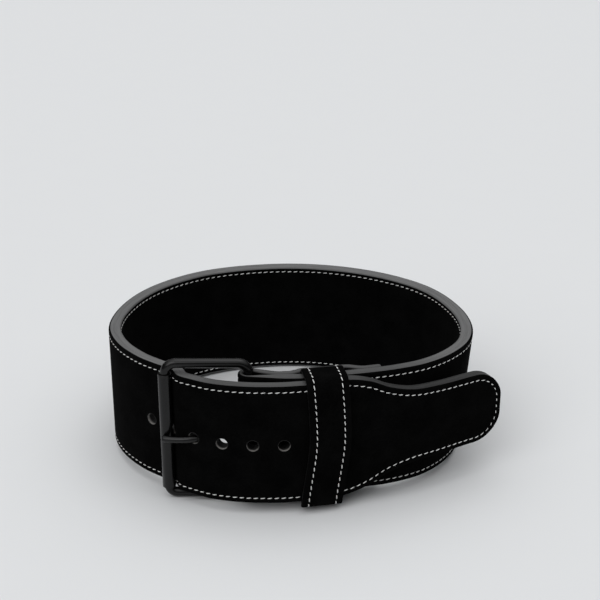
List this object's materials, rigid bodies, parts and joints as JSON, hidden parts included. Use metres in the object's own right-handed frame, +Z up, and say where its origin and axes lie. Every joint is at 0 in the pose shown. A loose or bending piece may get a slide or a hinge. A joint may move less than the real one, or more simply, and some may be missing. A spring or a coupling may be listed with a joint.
{
  "type": "weightlifting belt",
  "caption": "Weightlifting belt of black suede leather, 100 mm wide and 10 mm thick, with a roller buckle on a steel wire frame, a keeper, prong holes and rivets, buckled into a loop.",
  "frame": {"origin": "middle of the box round the belt, on the surface that it rests on", "axes": "+Z up, buckle towards -Y, free end of the strap towards +X; the belt leans back by 2.2 degrees, as it rests on its buckle frame and its back edge"},
  "size_m": [0.317, 0.253, 0.1207],
  "materials": {
    "suede_leather": "napped black suede, edges painted grey and stitched with white thread",
    "black_steel": "black coated steel wire, semi-gloss"
  },
  "bodies": {
    "belt": {"belt_strap": "suede_leather", "keeper_loop": "suede_leather", "buckle_frame": "black_steel", "buckle_prong": "black_steel", "rivet_1": "black_steel", "rivet_2": "black_steel", "rivet_3": "black_steel", "rivet_4": "black_steel", "rivet_5": "black_steel", "rivet_6": "black_steel"},
    "roller": {"buckle_roller": "black_steel"}
  },
  "joints": [
    {"name": "roller_spin", "type": "hinge", "parent": "belt", "child": "roller", "pos_m": [-0.10423, -0.0963, 0.05921], "axis": [0.0098, 0.0367, 0.9993], "continuous": true}
  ]
}
